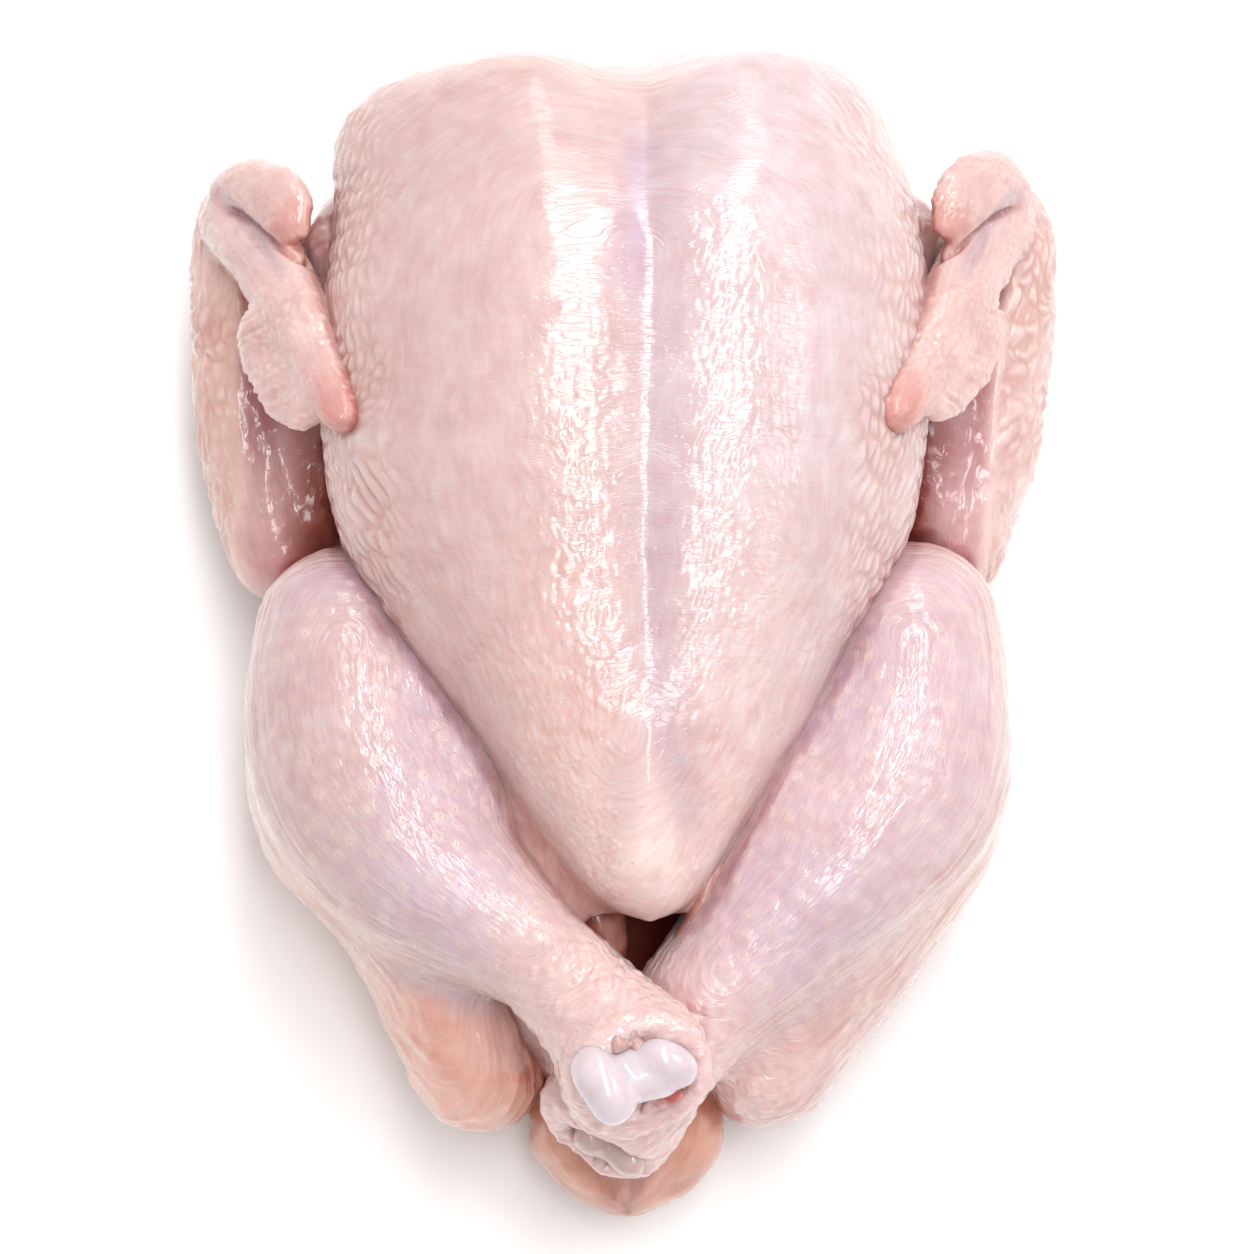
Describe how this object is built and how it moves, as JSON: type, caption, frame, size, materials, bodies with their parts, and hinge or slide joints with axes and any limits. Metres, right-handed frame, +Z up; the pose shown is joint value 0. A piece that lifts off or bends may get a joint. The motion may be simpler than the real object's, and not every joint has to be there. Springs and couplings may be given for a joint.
{
  "type": "whole raw chicken",
  "caption": "Whole raw chicken lying on its back, breast up, with folded wings, crossed drumsticks, cut hocks and an emptied body that opens at the vent.",
  "frame": {"origin": "on the table, under the middle of the bird", "axes": "+Z up, out of the breast; +Y to the neck end, -Y to the tail; +X to the bird's left, as it lies on its back"},
  "size_m": [0.1905, 0.2467, 0.1044],
  "materials": {
    "skin": "wet raw skin, pale pink",
    "right_leg_bone": "wet bluish-white cartilage",
    "left_leg_bone": "wet bluish-white cartilage"
  },
  "bodies": {
    "root": {"carcass": "skin", "right_leg_bone": "right_leg_bone", "left_leg_bone": "left_leg_bone"}
  },
  "joints": []
}
